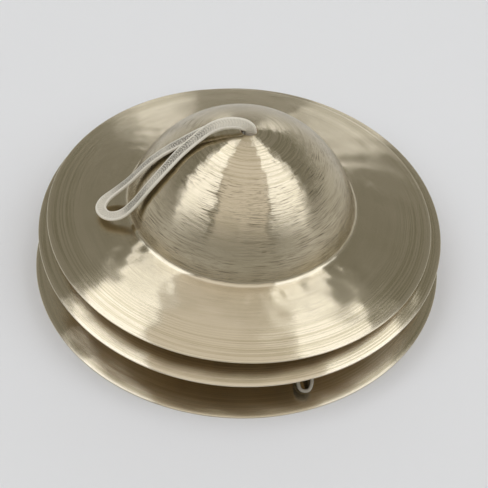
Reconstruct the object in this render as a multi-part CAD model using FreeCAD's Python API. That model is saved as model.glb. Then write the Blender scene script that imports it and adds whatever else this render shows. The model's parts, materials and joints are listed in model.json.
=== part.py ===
"""Stack of three big-dome hand cymbals with knotted hand straps, in millimetres.

Each cymbal is a spun bronze plate with a hole at the top of its dome. A flat
woven strap is doubled, goes down through the hole and a leather washer, and is
knotted inside. The plates lie nested, each on the strap of the one below.
Origin: centre of the lower rim on the table, +Z up, -Y towards the viewer.
"""
import FreeCAD, Part
import math
import os

Vector = FreeCAD.Vector
Z_AXIS = Vector(0, 0, 1)

# ---- plates --------------------------------------------------------------
LOWER_RIM_RADIUS = 150.0
MIDDLE_RIM_RADIUS = 144.8
TOP_RIM_RADIUS = 136.9
LOWER_DOME_HEIGHT = 58.0        # apex above the underside of the rim
MIDDLE_DOME_HEIGHT = 53.3
TOP_DOME_HEIGHT = 69.5
TOP_DOME_RADIUS = 80.3          # where the dome's wall meets its fillet
DOME_NEST_CLEARANCE = 1.6       # radial room for the dome of the next plate
PLATE_WALL = 1.5
LOWER_FLANGE_RISE = 7.5         # root of the flange above the rim's upper edge
MIDDLE_FLANGE_RISE = 7.0
TOP_FLANGE_RISE = 6.0
CROWN_ANGLE = 24.0              # slope where the crown arc ends, degrees
DOME_WALL_ANGLE = 72.0          # slope where the dome ends, degrees
DOME_FILLET_RADIUS = 6.0
FLANGE_ROOT_SLOPE = 3.0         # degrees
RIM_GRIND = 0.3                 # ground off under the rim, which leaves a flat ring
RIM_ROUND = 0.5
HOLE_RADIUS = 5.5
HOLE_EASING = 0.4

# ---- how the plates lie on each other ------------------------------------
MIDDLE_OFFSET = Vector(1.1, 0, 0)
MIDDLE_SLOPE = (-0.26, 2.20)    # rise of the plate along +X and +Y, degrees
TOP_OFFSET = Vector(0.9, 0, 0)
TOP_SLOPE = (-1.94, 0.40)
SEAT_GAP = 0.3                  # running gap where one cymbal rests on another

# ---- washers, knots and straps -------------------------------------------
WASHER_RADIUS = 13.0
WASHER_THICKNESS = 1.8
WASHER_HOLE_RADIUS = 4.4
WASHER_FIT = 0.1                # air between washer and plate
KNOT_RADIUS = 8.5
KNOT_HEIGHT = 11.0
KNOT_GROOVE = 0.9               # depth of the groove between the knot's two turns
KNOT_CLEARANCE = 0.3            # air between knot and washer
STRAP_DIAMETER = 3.6            # round section that stands for the flat strap
TAIL_REACH = 23.0               # cut ends of the strap, from the hole's axis
TAIL_DROP = 3.0
TAIL_SPREAD = 155.0             # angle between the two cut ends, degrees
BEND_SHARE = 0.45               # share of the shorter run that a bend takes
FOLD_STEP = 0.2                 # spacing of the points that find a fold's top

# Routes of the strap loops. Each starts and ends at the knot, and its points
# are taken from the mouth of the hole, with +Z along the plate's own axis.
TOP_ROUTE = [
    (1.9, 0, 0), (1.9, 0, 4.4), (-6.5, -0.9, 8.2), (-19, -2.3, 6.0), (-31, -3.9, 1.6),
    (-43.5, -5.8, -8.3), (-56, -7.6, -17.6), (-67, -8.6, -29.4), (-77.5, -9.4, -44.0),
    (-88, -11.5, -54.0), (-96, -17.5, -58), (-97.3, -26.5, -58.2), (-91, -33.6, -57.5),
    (-81.5, -33.6, -55.2), (-73, -31, -46.5), (-64, -29, -32.5), (-54, -24.5, -20.5),
    (-43, -17, -10.3), (-31.5, -8.6, -2.6), (-20, -3.2, 0.9), (-9.5, -1.0, 3.4),
    (-1.9, 0, 2.2), (-1.9, 0, 0),
]
MIDDLE_ROUTE = [
    (-1.5, -1.2, 0), (-1.5, -1.2, 4.4), (5, 4.2, 8.6), (15, 11.7, 7.1), (25.5, 18, 3.0),
    (36.5, 23.5, -2.8), (45.5, 30.5, -8.5), (49, 40, -12.5), (44, 49.5, -15.0),
    (34, 56.5, -15.2), (22.5, 61.2, -15.2), (10, 61.5, -13.0), (0.5, 55.5, -9.5),
    (0.5, 46.5, -6.0), (9, 42.5, -4.6), (20, 41.5, -5.4), (29, 36.5, -5.8),
    (31.5, 28.5, -4.2), (24.5, 20.5, -2.0), (15.5, 12.2, 1.3), (7.5, 6, 3.3),
    (1.5, 1.2, 2.2), (1.5, 1.2, 0),
]
LOWER_ROUTE = [
    (-0.7, 1.8, 0), (-0.7, 1.8, 7.6), (2.3, -6.0, 11.9), (7.6, -17.0, 9.0), (14.5, -29.5, 2.5),
    (21, -42.5, -6.0), (27, -55.5, -16.5), (31.8, -67, -29.5), (36, -78, -42.0),
    (39.5, -90, -47.0), (42.2, -103, -48.6), (43.6, -116, -49.8), (43.2, -127, -50.6),
    (47.6, -133.5, -50.9), (53, -129.5, -50.6), (53.6, -119, -49.8), (50.5, -107, -48.8),
    (46.5, -94, -47.4), (42, -81.5, -43.5), (35, -67.5, -31.5), (30, -55, -18.5),
    (23.5, -42, -8.0), (16.5, -29.5, -1.6), (9.4, -18.2, 2.4), (3.6, -8.0, 5.0),
    (0.7, -1.8, 3.0), (0.7, -1.8, 0),
]


def sin(degrees):
    return math.sin(math.radians(degrees))


def cos(degrees):
    return math.cos(math.radians(degrees))


def tan(degrees):
    return math.tan(math.radians(degrees))


def radial(radius, height):
    """Point of a profile in the XZ plane."""
    return Vector(radius, 0, height)


class Arc:
    """Arc of a profile of revolution; a slope is measured down from level."""

    def __init__(self, centre, radius, start, end):
        self.centre, self.radius, self.start, self.end = centre, radius, start, end

    def point(self, slope):
        return self.centre + radial(self.radius * sin(slope), self.radius * cos(slope))

    def slope_at(self, radius):
        return math.degrees(math.asin((radius - self.centre.x) / self.radius))

    def slope_at_height(self, height):
        return math.degrees(math.acos((height - self.centre.z) / self.radius))

    def offset(self, depth):
        """The same arc, depth below it on the shell's inner side."""
        return Arc(self.centre, self.radius - depth, self.start, self.end)

    def edge(self):
        middle = self.point(0.5 * (self.start + self.end))
        return Part.Arc(self.point(self.start), middle, self.point(self.end)).toShape()


class Plate:
    """Spun plate: crown arc, shoulder arc, concave fillet, bowed flange."""

    def __init__(self, rim_radius, dome_height, dome_radius, flange_rise):
        self.rim_radius, self.dome_height = rim_radius, dome_height
        edge_height = PLATE_WALL - RIM_GRIND
        root_height = edge_height + flange_rise
        base_height = root_height + DOME_FILLET_RADIUS * (cos(FLANGE_ROOT_SLOPE) - cos(DOME_WALL_ANGLE))
        crown, shoulder = self.dome_radii(dome_radius, dome_height - base_height)
        crown_centre = radial(0, dome_height - crown)
        shoulder_centre = crown_centre + self.along(CROWN_ANGLE, crown - shoulder)
        fillet_centre = shoulder_centre + self.along(DOME_WALL_ANGLE, shoulder + DOME_FILLET_RADIUS)
        root = fillet_centre - self.along(FLANGE_ROOT_SLOPE, DOME_FILLET_RADIUS)
        run = rim_radius - root.x
        rim_slope = 2 * math.degrees(math.atan2(root.z - edge_height, run)) - FLANGE_ROOT_SLOPE
        bow = run / (sin(rim_slope) - sin(FLANGE_ROOT_SLOPE))
        self.crown = Arc(crown_centre, crown, 0, CROWN_ANGLE)
        self.shoulder = Arc(shoulder_centre, shoulder, CROWN_ANGLE, DOME_WALL_ANGLE)
        self.fillet = Arc(fillet_centre, -DOME_FILLET_RADIUS, DOME_WALL_ANGLE, FLANGE_ROOT_SLOPE)
        self.flange = Arc(root - self.along(FLANGE_ROOT_SLOPE, bow), bow, FLANGE_ROOT_SLOPE, rim_slope)
        self.rim_slope = rim_slope

    @staticmethod
    def along(slope, length):
        return radial(length * sin(slope), length * cos(slope))

    @staticmethod
    def dome_radii(radius, rise):
        """Crown and shoulder radii that reach the dome's radius and rise."""
        a, b = sin(CROWN_ANGLE), sin(DOME_WALL_ANGLE) - sin(CROWN_ANGLE)
        c, d = 1 - cos(CROWN_ANGLE), cos(CROWN_ANGLE) - cos(DOME_WALL_ANGLE)
        determinant = a * d - b * c
        return (radius * d - b * rise) / determinant, (a * rise - radius * c) / determinant

    def upper_arcs(self):
        return [self.crown, self.shoulder, self.fillet, self.flange]

    def flange_top(self, radius):
        """Height of the flange's upper face at a radius."""
        centre = self.flange.centre
        return centre.z + math.sqrt(self.flange.radius ** 2 - (radius - centre.x) ** 2)

    def solid(self):
        """Profile of the wall, with eased hole and rounded, ground rim, turned once."""
        upper = [arc.offset(0) for arc in self.upper_arcs()]
        lower = [arc.offset(PLATE_WALL) for arc in upper]
        upper[0].start = upper[0].slope_at(HOLE_RADIUS + HOLE_EASING)
        lower[0].start = lower[0].slope_at(HOLE_RADIUS)
        upper[-1].end = upper[-1].slope_at(self.rim_radius - RIM_ROUND)
        lower[-1].end = lower[-1].slope_at_height(0)
        rim_high, rim_low = upper[-1].point(upper[-1].end), radial(self.rim_radius - RIM_ROUND, 0)
        rim_out = radial(self.rim_radius, 0.5 * (rim_high.z + rim_low.z))
        mouth = upper[0].point(upper[0].start)
        wall_high, wall_low = radial(HOLE_RADIUS, mouth.z - HOLE_EASING), lower[0].point(lower[0].start)
        edges = [arc.edge() for arc in upper + lower]
        edges.append(Part.Arc(rim_high, rim_out, rim_low).toShape())
        edges.append(Part.makeLine(rim_low, lower[-1].point(lower[-1].end)))
        edges.append(Part.makeLine(mouth, wall_high))
        edges.append(Part.makeLine(wall_high, wall_low))
        return turned(edges)


def turned(edges):
    """Solid of revolution of a closed profile in the XZ plane."""
    return Part.Face(Part.Wire(Part.sortEdges(edges)[0])).revolve(Vector(), Z_AXIS, 360)


class Strap:
    """Doubled strap of one cymbal: washer, knot, two cut ends and the loop."""

    def __init__(self, plate, route, tail_azimuth):
        self.plate, self.tail_azimuth = plate, tail_azimuth
        self.knot_top = self.washer_low(KNOT_RADIUS - 0.25 * KNOT_HEIGHT) - KNOT_CLEARANCE
        mouth = Vector(0, 0, plate.dome_height)
        self.route = [mouth + Vector(*point) for point in route]
        self.route[0].z = self.knot_top
        self.route[-1].z = self.knot_top

    def washer_sphere(self, depth):
        return self.plate.crown.radius - PLATE_WALL - WASHER_FIT - depth

    def washer_low(self, radius):
        """Height of the washer's underside at a radius."""
        return self.plate.crown.centre.z + math.sqrt(self.washer_sphere(WASHER_THICKNESS) ** 2 - radius ** 2)

    def washer(self):
        """Disc dished to the inside of the crown, with a round hole."""
        centre = self.plate.crown.centre
        upper = Part.makeSphere(self.washer_sphere(0), centre)
        lower = Part.makeSphere(self.washer_sphere(WASHER_THICKNESS), centre)
        height = WASHER_THICKNESS * 6
        base = Vector(0, 0, self.washer_low(WASHER_RADIUS) - WASHER_THICKNESS)
        ring = Part.makeCylinder(WASHER_RADIUS, height, base, Z_AXIS)
        ring = ring.cut(Part.makeCylinder(WASHER_HOLE_RADIUS, height, base, Z_AXIS))
        return ring.common(upper).cut(lower).Solids[0]

    def knot(self):
        """Two rounded turns with a groove between them."""
        top, low = self.knot_top, self.knot_low()
        middle, bulge = 0.5 * (top + low), 0.25 * KNOT_HEIGHT
        flat, waist = KNOT_RADIUS - bulge, KNOT_RADIUS - KNOT_GROOVE
        groove = 0.25 * KNOT_HEIGHT - math.sqrt(bulge ** 2 - (waist - flat) ** 2)
        edges = [
            Part.makeLine(radial(0, top), radial(flat, top)),
            Part.Arc(radial(flat, top), radial(KNOT_RADIUS, top - bulge), radial(waist, middle + groove)).toShape(),
            Part.makeLine(radial(waist, middle + groove), radial(waist, middle - groove)),
            Part.Arc(radial(waist, middle - groove), radial(KNOT_RADIUS, low + bulge), radial(flat, low)).toShape(),
            Part.makeLine(radial(flat, low), radial(0, low)),
            Part.makeLine(radial(0, low), radial(0, top)),
        ]
        return turned(edges)

    def tails(self):
        """Two short cut ends that leave the knot sideways, one each way."""
        level = 0.5 * (self.knot_top + self.knot_low())
        ends = []
        for azimuth in (self.tail_azimuth, self.tail_azimuth + TAIL_SPREAD):
            out = Vector(cos(azimuth), sin(azimuth), 0)
            side = Vector(-out.y, out.x, 0)
            points = [Vector(0, 0, level), out * (0.5 * TAIL_REACH) + Vector(0, 0, level - 0.2 * TAIL_DROP),
                      out * TAIL_REACH + side * TAIL_DROP + Vector(0, 0, level - TAIL_DROP)]
            ends.append(tube(points, STRAP_DIAMETER)[0])
        return Part.makeCompound(ends).cut(self.knot())

    def loop(self, name):
        """The part of the strap that the hand goes through."""
        solid, path, radii = tube(self.route, STRAP_DIAMETER)
        length = path.Length
        section = math.pi * STRAP_DIAMETER ** 2 / 4
        print(f"{name}: length {length:.1f} mm, volume / (section x length) = "
              f"{solid.Volume / (section * length):.4f}, radii {[round(r, 1) for r in radii]}")
        return solid

    def fold_top(self):
        """Highest point of the loop, where it folds over above the hole."""
        path = tube(self.route, STRAP_DIAMETER)[1]
        return max(point.z for point in path.discretize(Distance=FOLD_STEP)) + 0.5 * STRAP_DIAMETER

    def knot_low(self):
        return self.knot_top - KNOT_HEIGHT


def tube(points, diameter):
    """Round solid along straight runs joined by tangent arcs."""
    edges, radii = [], []
    last = points[0]
    for before, corner, after in zip(points, points[1:], points[2:]):
        back, ahead = before - corner, after - corner
        reach = BEND_SHARE * min(back.Length, ahead.Length)
        back, ahead = back.normalize(), ahead.normalize()
        half_turn = 0.5 * (math.pi - back.getAngle(ahead))
        radius = reach / math.tan(half_turn)
        start, end = corner + back * reach, corner + ahead * reach
        inward = (back + ahead).normalize()
        middle = corner + inward * (math.hypot(radius, reach) - radius)
        edges.append(Part.LineSegment(last, start).toShape())
        edges.append(Part.Arc(start, middle, end).toShape())
        radii.append(radius)
        last = end
    edges.append(Part.LineSegment(last, points[-1]).toShape())
    path = Part.Wire(edges)
    direction = (points[1] - points[0]).normalize()
    profile = Part.Wire(Part.makeCircle(0.5 * diameter, points[0], direction))
    solid = path.makePipeShell([profile], True, False)
    return solid, path, radii


def plate_axis(slope):
    """Unit normal of a plate that rises by slope degrees along +X and +Y."""
    return Vector(-tan(slope[0]), -tan(slope[1]), 1).normalize()


class Cymbal:
    """A plate with its strap, laid at a height and slope in the stack."""

    def __init__(self, name, plate, route, tail_azimuth, offset=Vector(), slope=(0, 0)):
        self.name, self.plate, self.slope = name, plate, slope
        self.strap = Strap(plate, route, tail_azimuth)
        self.axis = plate_axis(slope)
        self.offset = offset
        self.rise = 0.0

    def rest_on(self, below):
        """Lower this cymbal until its knot or its flange meets the one below."""
        fold = below.offset + below.axis * below.strap.fold_top()
        low = self.axis * self.strap.knot_low()
        tilt = math.sqrt(1 - (self.axis * below.axis) ** 2)
        knot_seat = below.rise + fold.z - low.z + SEAT_GAP + KNOT_RADIUS * tilt
        flange_seat = below.rise + below.plate.flange_top(self.plate.rim_radius) + SEAT_GAP
        flange_seat += self.plate.rim_radius * tilt
        self.rise = max(knot_seat, flange_seat)

    def placement(self):
        turn = FreeCAD.Rotation(Z_AXIS, self.axis)
        return FreeCAD.Placement(self.offset + Vector(0, 0, self.rise), turn)

    def nodes(self):
        shapes = {
            "plate": self.plate.solid(),
            "washer": self.strap.washer(),
            "knot": self.strap.knot(),
            "strap_ends": self.strap.tails(),
            "strap_loop": self.strap.loop(self.name),
        }
        placement = self.placement()
        for shape in shapes.values():
            shape.Placement = placement
        return {f"{self.name}_{part}": shape for part, shape in shapes.items()}

    def describe(self):
        mouth = self.placement().multVec(Vector(0, 0, self.plate.dome_height))
        print(f"{self.name}: rise {self.rise:.2f}, mouth {tuple(round(v, 3) for v in mouth)}, "
              f"axis {tuple(round(v, 5) for v in self.axis)}, rim slope {self.plate.rim_slope:.1f}")


def stack():
    middle_dome_radius = TOP_DOME_RADIUS - PLATE_WALL - DOME_NEST_CLEARANCE
    lower_dome_radius = middle_dome_radius - PLATE_WALL - DOME_NEST_CLEARANCE
    lower = Cymbal("lower", Plate(LOWER_RIM_RADIUS, LOWER_DOME_HEIGHT, lower_dome_radius, LOWER_FLANGE_RISE),
                   LOWER_ROUTE, 35)
    middle = Cymbal("middle", Plate(MIDDLE_RIM_RADIUS, MIDDLE_DOME_HEIGHT, middle_dome_radius, MIDDLE_FLANGE_RISE),
                    MIDDLE_ROUTE, 100, MIDDLE_OFFSET, MIDDLE_SLOPE)
    top = Cymbal("top", Plate(TOP_RIM_RADIUS, TOP_DOME_HEIGHT, TOP_DOME_RADIUS, TOP_FLANGE_RISE),
                 TOP_ROUTE, 60, TOP_OFFSET, TOP_SLOPE)
    middle.rest_on(lower)
    top.rest_on(middle)
    return [lower, middle, top]


os.makedirs("parts", exist_ok=True)
for cymbal in stack():
    cymbal.describe()
    for node, shape in cymbal.nodes().items():
        shape.exportStep(f"parts/{node}.step")
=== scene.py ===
"""Looks of a loose stack of three hand cymbals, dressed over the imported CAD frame.

Each cymbal is a spun, hammered and lathe-turned bronze plate with a flat woven
hand strap, its knot, the knot's leather washer and the strap's two cut ends.
Lengths are metres and places are those of the row frame.
"""
import json
import logging
import math
from dataclasses import dataclass, replace
from enum import Enum
from typing import Sequence, Union

import bpy
import numpy as np
from mathutils import Matrix, Vector


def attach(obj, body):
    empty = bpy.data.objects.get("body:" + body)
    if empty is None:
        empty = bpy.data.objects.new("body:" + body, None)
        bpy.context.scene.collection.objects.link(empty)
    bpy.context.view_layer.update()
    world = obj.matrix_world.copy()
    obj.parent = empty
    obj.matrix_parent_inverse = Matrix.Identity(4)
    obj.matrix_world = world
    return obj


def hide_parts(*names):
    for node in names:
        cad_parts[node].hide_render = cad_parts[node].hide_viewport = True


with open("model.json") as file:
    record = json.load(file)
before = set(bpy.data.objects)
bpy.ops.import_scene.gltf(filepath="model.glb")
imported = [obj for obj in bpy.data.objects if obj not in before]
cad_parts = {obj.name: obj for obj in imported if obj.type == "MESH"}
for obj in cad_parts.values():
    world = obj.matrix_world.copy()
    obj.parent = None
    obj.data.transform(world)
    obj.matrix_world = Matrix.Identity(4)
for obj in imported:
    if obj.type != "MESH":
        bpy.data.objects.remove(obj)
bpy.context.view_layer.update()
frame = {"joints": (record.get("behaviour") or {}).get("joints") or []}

Amount = Union["Shade", float]
Finish = bpy.types.Material
Piece = bpy.types.Object
Triple = tuple[float, float, float]

LOG = logging.getLogger("hand_cymbals")
MM = 0.001
FULL_TURN = 2 * math.pi
IMAGE_WIDTH = 488
SENSOR_WIDTH = 36.0


class Slot(Enum):
    """Material slots of the record."""

    BRONZE = "bronze"
    LEATHER = "leather"
    STRAP = "strap"


class Tier(Enum):
    """The three cymbals of the stack, from the table up."""

    LOWER = "lower"
    MIDDLE = "middle"
    TOP = "top"


# --- shader maths


class Shade:
    """An output socket that takes part in sums, so that shader maths reads as Python."""

    def __init__(self, wiring: "Wiring", socket: bpy.types.NodeSocket) -> None:
        """Wrap an output socket of a node tree."""
        self.wiring = wiring
        self.socket = socket

    def math(self, operation: str, *others: Amount, first: bool = True) -> "Shade":
        """Result of one Math node on this value and others, with this one first or last."""
        operands = [self, *others] if first else [*others, self]
        inputs = dict(enumerate(operands))
        return self.wiring.node("ShaderNodeMath", {"operation": operation}, inputs)

    def __add__(self, other: Amount) -> "Shade":
        """Sum of both."""
        return self.math("ADD", other)

    __radd__ = __add__

    def __sub__(self, other: Amount) -> "Shade":
        """This value less the other."""
        return self.math("SUBTRACT", other)

    def __rsub__(self, other: Amount) -> "Shade":
        """The other less this value."""
        return self.math("SUBTRACT", other, first=False)

    def __mul__(self, other: Amount) -> "Shade":
        """Product of both."""
        return self.math("MULTIPLY", other)

    __rmul__ = __mul__

    def __abs__(self) -> "Shade":
        """This value without its sign."""
        return self.math("ABSOLUTE")

    def sine(self) -> "Shade":
        """Sine of this value in radians."""
        return self.math("SINE")

    def ramp(self, low: float, high: float, start: float = 0.0, end: float = 1.0) -> "Shade":
        """Smooth step of this value, from start at low and below to end at high and above."""
        inputs = {"Value": self, "From Min": low, "From Max": high, "To Min": start, "To Max": end}
        return self.wiring.node("ShaderNodeMapRange", {"interpolation_type": "SMOOTHSTEP"}, inputs)


class Wiring:
    """The node tree of one material, with its principled shader and output."""

    def __init__(self, name: str) -> None:
        """Start an empty material.

        Args:
            name: The material's name.
        """
        self.material = bpy.data.materials.new(name)
        self.material.use_nodes = True
        self.tree = self.material.node_tree
        self.tree.nodes.clear()

    def node(self, kind: str, settings: dict, inputs: dict, output: int | str = 0) -> Shade:
        """Add one node.

        Args:
            kind: The node's type.
            settings: Its own options, set before its sockets.
            inputs: Values or links of its input sockets, by name or number.
            output: The output socket that is wanted.

        Returns:
            That output.
        """
        made = self.tree.nodes.new(kind)
        for key, value in settings.items():
            setattr(made, key, value)
        for key, value in inputs.items():
            if isinstance(value, Shade):
                self.tree.links.new(value.socket, made.inputs[key])
            else:
                made.inputs[key].default_value = value
        return Shade(self, made.outputs[output])

    def held(self, name: str) -> Shade:
        """A vector that the mesh holds at each point."""
        return self.node("ShaderNodeAttribute", {"attribute_name": name}, {}, "Vector")

    def attribute(self, name: str) -> tuple[Shade, ...]:
        """The three parts of a vector that the mesh holds."""
        parts = self.node("ShaderNodeSeparateXYZ", {}, {0: self.held(name)})
        return tuple(Shade(self, socket) for socket in parts.socket.node.outputs)

    def direction(self, name: str) -> Shade:
        """A direction that the mesh holds, turned with the object."""
        settings = {"vector_type": "VECTOR", "convert_from": "OBJECT", "convert_to": "WORLD"}
        return self.node("ShaderNodeVectorTransform", settings, {0: self.held(name)})

    def vector(self, x: Amount, y: Amount, z: Amount) -> Shade:
        """A vector of three values."""
        return self.node("ShaderNodeCombineXYZ", {}, {0: x, 1: y, 2: z})

    def place(self) -> Shade:
        """Object coordinates, in metres."""
        return self.node("ShaderNodeTexCoord", {}, {}, "Object")

    def noise(
        self, vector: Shade, scale: float, detail: float = 2.0, roughness: float = 0.5
    ) -> Shade:
        """Soft random value from 0 to 1, with finer layers of a certain weight added."""
        inputs = {"Vector": vector, "Scale": scale, "Detail": detail, "Roughness": roughness}
        return self.node("ShaderNodeTexNoise", {}, inputs, 0)

    def blend(self, share: Amount, first: "Shade | tuple", second: "Shade | tuple") -> Shade:
        """Colour between two.

        Args:
            share: 0 for the first colour, 1 for the second.
            first: A colour, as a link or as red, green and blue.
            second: The other colour.

        Returns:
            The mixed colour.
        """
        colours = [(*c, 1.0) if isinstance(c, tuple) else c for c in (first, second)]
        settings = {"data_type": "RGBA"}
        return self.node("ShaderNodeMix", settings, {0: share, 6: colours[0], 7: colours[1]}, 2)

    def bump(self, height: Shade, distance: float) -> Shade:
        """Normal that follows a height, of which 1 stands for the distance in metres."""
        return self.node("ShaderNodeBump", {}, {"Height": height, "Distance": distance})

    def lean(self, leans: Sequence[tuple[Shade, Shade]]) -> Shade:
        """Surface normal tipped by small slopes.

        The normal plus each direction times its slope, made a unit vector.

        Args:
            leans: Directions along the surface and the slope in each.

        Returns:
            The tipped normal.
        """
        normal = self.node("ShaderNodeNewGeometry", {}, {}, "Normal")
        for direction, slope in leans:
            step = self.vector_math("SCALE", {0: direction, "Scale": slope})
            normal = self.vector_math("ADD", {0: normal, 1: step})
        return self.vector_math("NORMALIZE", {0: normal})

    def vector_math(self, operation: str, inputs: dict) -> Shade:
        """Result of one Vector Math node."""
        return self.node("ShaderNodeVectorMath", {"operation": operation}, inputs)

    def shade(self, **inputs: "Shade | float | tuple") -> Finish:
        """Close the tree with its principled shader.

        Args:
            inputs: The shader's sockets, with underscores for spaces.

        Returns:
            The finished material.
        """
        named = {key.replace("_", " "): value for key, value in inputs.items()}
        shader = self.node("ShaderNodeBsdfPrincipled", {}, named)
        end = self.tree.nodes.new("ShaderNodeOutputMaterial")
        self.tree.links.new(shader.socket, end.inputs["Surface"])
        return self.material


# --- finishes


@dataclass(frozen=True)
class Streaks:
    """Noise over a turned plate, unlike round the axis and down the profile."""

    about: float
    down: float
    detail: float = 1.0
    roughness: float = 0.5
    shift: float = 0.0
    step: tuple[float, float] | None = None

    def read(self, w: Wiring, turning: tuple[Shade, ...], sway: Amount = 0.0) -> Shade:
        """Value of the noise, through its step where it has one.

        Args:
            w: The material's wiring.
            turning: Cosine and sine of the angle and the arc length.
            sway: What moves the noise down the profile.

        Returns:
            A value from 0 to 1.
        """
        cosine, sine, run = turning
        along = run * self.down + sway + self.shift
        place = w.vector(cosine * self.about, sine * self.about, along)
        value = w.noise(place, 1.0, self.detail, self.roughness)
        return value.ramp(*self.step) if self.step else value


@dataclass(frozen=True)
class TurnedBronze:
    """Pale bronze with lathe rings, hammer nicks and handling stains."""

    pale: Triple = (0.61, 0.53, 0.385)
    olive: Triple = (0.48, 0.415, 0.275)
    brown: Triple = (0.12, 0.09, 0.05)
    # colour of the painted highlight along the dome's crease and the lip
    bright: Triple = (0.90, 0.82, 0.66)
    # warmer tint of the underside, a painted reflection tint that deepens the brown which the plate
    # below reflects of it
    reflection_warm: Triple = (0.72, 0.54, 0.31)
    roughness: float = 0.15
    satin: float = 0.35
    grain_slope: float = 0.6
    ring_slope: float = 0.06
    nick_slope: float = 0.13
    sway_reach: float = 6.0
    crown_reach: tuple[float, float] = (20 * MM, 50 * MM)
    wear_scale: float = 12.0
    grain: Streaks = Streaks(1200, 40000, 0.0)
    rings: Streaks = Streaks(0.6, 1200, 2.0, 0.55)
    bands: Streaks = Streaks(0.8, 330, 3.0, 0.55, step=(0.48, 0.56))
    patches: Streaks = Streaks(3, 40, 2.0, step=(0.34, 0.52))
    sway: Streaks = Streaks(4, 60)
    dashes: Streaks = Streaks(4, 3000, step=(0.60, 0.64))
    ticks: Streaks = Streaks(8, 2600, shift=40, step=(0.64, 0.69))
    hairs: Streaks = Streaks(3, 3200, step=(0.5, 0.66))
    nicks: Streaks = Streaks(7, 200, 2.0, 0.55, 90)

    def material(self) -> Finish:
        """Rings follow the arc length of the wall and run round the axis.

        The vector "turning" holds the cosine and sine of the angle round the
        axis and the arc length from the hole, "zones" the shares of dome, rim
        and painted highlight along the dome's crease and the lip, "underside"
        the share of the lower face. Noise read along the first gives rings,
        dashes and streaks without a seam. A grain of rings too fine to see
        leans the normal down the profile, which draws every highlight out into
        a wedge from the hole to the rim, as turned metal does, and coarser nicks
        lean it round the axis, which frays the wedges. The underside is satin,
        and its colour is warmed as a painted reflection tint, so that the plate
        below reflects it deep brown.

        Returns:
            The bronze.
        """
        w = Wiring("bronze")
        turning = w.attribute("turning")
        dome, rim, edge = w.attribute("zones")
        under = w.attribute("underside")[0]
        crown = turning[2].ramp(*self.crown_reach, 1.0, 0.0)
        rings = self.rings.read(w, turning)
        sway = self.sway.read(w, turning) * self.sway_reach
        dashes = self.dashes.read(w, turning, sway) + self.ticks.read(w, turning, sway)
        marks = dashes * self.patches.read(w, turning) * (0.1 + dome * 0.9) * (1 - crown)
        lines = self.bands.read(w, turning) * (0.12 + rim * 0.4 + crown * 0.3)
        fine = rings.ramp(0.42, 0.58, -0.5, 0.5) * (0.16 + rim * 1.0 + crown * 1.1)
        hairs = self.hairs.read(w, turning, sway) * dome
        worn = w.noise(w.place(), self.wear_scale, 4.0, 0.6).ramp(0.38, 0.66)
        shade = (worn * 0.45 + lines * 0.6 + fine + hairs * 0.5).math("MAXIMUM", 0.0)
        colour = w.blend(shade, self.pale, self.olive)
        colour = w.blend(marks.math("MINIMUM", 1.0) * 0.8, colour, self.brown)
        # painted highlight: the edge share lightens the crease and the lip, standing in for a glint
        # of the lamps
        colour = w.blend(edge * 0.35, colour, self.bright)
        # painted reflection tint: the underside's colour is warmed, so that its reflection in the
        # plate below shows the deep brown of bronze reflecting bronze
        colour = w.blend(under * 0.8, colour, self.reflection_warm)
        rough = self.roughness * (1 - rim * 0.15) + worn * 0.03 + lines * 0.04 + marks * 0.1
        grain = (self.grain.read(w, turning) - 0.5) * (self.grain_slope * (1 - rim * 0.2))
        grooves = (rings - 0.5) * ((0.3 + rim * 2.4 + crown * 2.5) * self.ring_slope)
        nicks = (self.nicks.read(w, turning) - 0.5) * (self.nick_slope * (0.12 + dome * 0.88))
        leans = [(w.direction("outward"), grain + grooves), (w.direction("roundabout"), nicks)]
        return w.shade(
            Base_Color=colour,
            Metallic=1.0,
            Roughness=rough + under * self.satin,
            Anisotropic=1.0,
            Anisotropic_Rotation=0.25,
            Normal=w.lean(leans),
        )


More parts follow.
